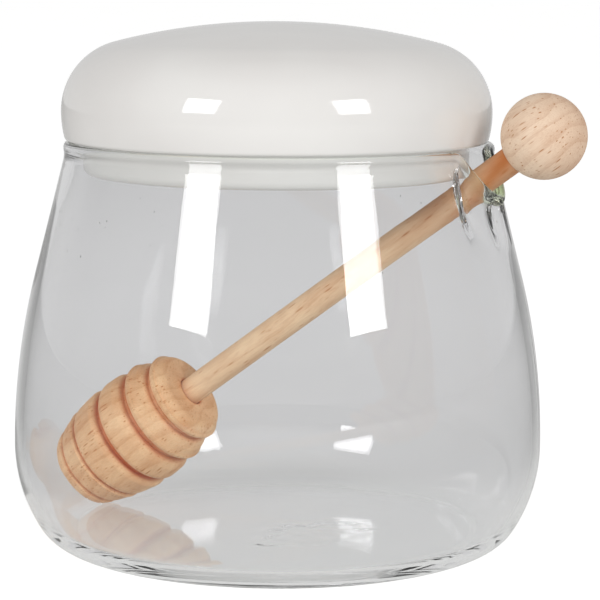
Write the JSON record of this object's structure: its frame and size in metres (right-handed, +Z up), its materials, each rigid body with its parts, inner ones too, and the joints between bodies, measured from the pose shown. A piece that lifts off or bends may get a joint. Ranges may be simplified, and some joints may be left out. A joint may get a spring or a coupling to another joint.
{
  "type": "honey jar with dipper",
  "caption": "Clear blown-glass honey jar with a pouring notch in its rim, a domed white ceramic lid and a turned wooden honey dipper.",
  "frame": {"origin": "centre of the jar's flat ring foot, on the plane that the jar stands on", "axes": "+Z up along the jar's axis; the front is towards -Y; the notch and the dipper's knob point towards +X and a little to the front"},
  "size_m": [0.1314, 0.1248, 0.1228],
  "materials": {
    "clear_glass": "clear, fire polished",
    "white_glaze": "gloss",
    "turned_beech": "bare, turned",
    "stained_beech": "bare, honey stained",
    "pale_beech": "bare, turned"
  },
  "bodies": {
    "root": {"glass_jar": "clear_glass", "lid": "white_glaze", "dipper_head": "turned_beech", "dipper_handle": "stained_beech", "dipper_knob": "pale_beech"}
  },
  "joints": []
}
